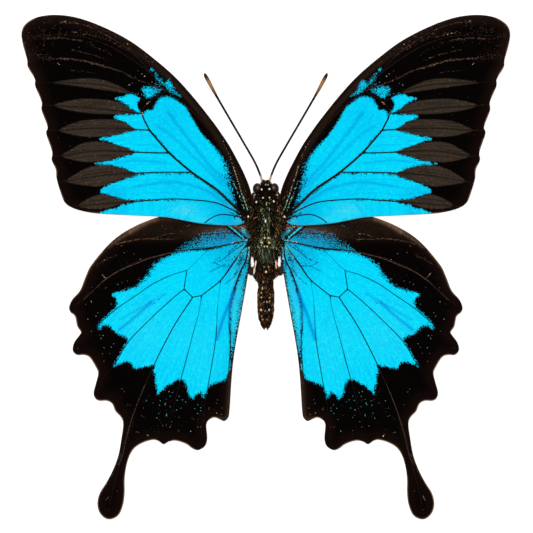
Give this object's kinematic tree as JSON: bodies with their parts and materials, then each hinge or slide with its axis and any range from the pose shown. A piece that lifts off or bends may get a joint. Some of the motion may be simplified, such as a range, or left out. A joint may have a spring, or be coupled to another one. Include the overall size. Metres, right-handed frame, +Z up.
{
  "type": "spread butterfly specimen",
  "caption": "Dried swallowtail butterfly, wings spread flat, with black wings, bright blue panels and spoon-shaped hindwing tails, for display in a case or on a board",
  "frame": {"origin": "under the middle of the insect's box, on the surface it rests on", "axes": "+Y from the tails to the head, +X towards the insect's right wings as seen from above in the picture, +Z up out of the wings' upper side"},
  "size_m": [0.1074, 0.111, 0.0089],
  "materials": {
    "forewing_scales": "satin scales, blue, black and brown",
    "hindwing_scales": "satin scales, blue and black",
    "body_fur": "dark hair with greenish scales",
    "shell": "satin brown",
    "leg_shell": "satin dark brown with pale scales",
    "eye": "glossy"
  },
  "bodies": {
    "root": {"head": "body_fur", "thorax": "body_fur", "abdomen": "body_fur", "eye_left": "eye", "eye_right": "eye", "antenna_left": "shell", "antenna_right": "shell", "palp_left": "body_fur", "palp_right": "body_fur", "proboscis": "shell", "forewing_left": "forewing_scales", "forewing_right": "forewing_scales", "hindwing_left": "hindwing_scales", "hindwing_right": "hindwing_scales", "leg_fore_left": "leg_shell", "leg_fore_right": "leg_shell", "leg_mid_left": "leg_shell", "leg_mid_right": "leg_shell", "leg_hind_left": "leg_shell", "leg_hind_right": "leg_shell"}
  },
  "joints": []
}
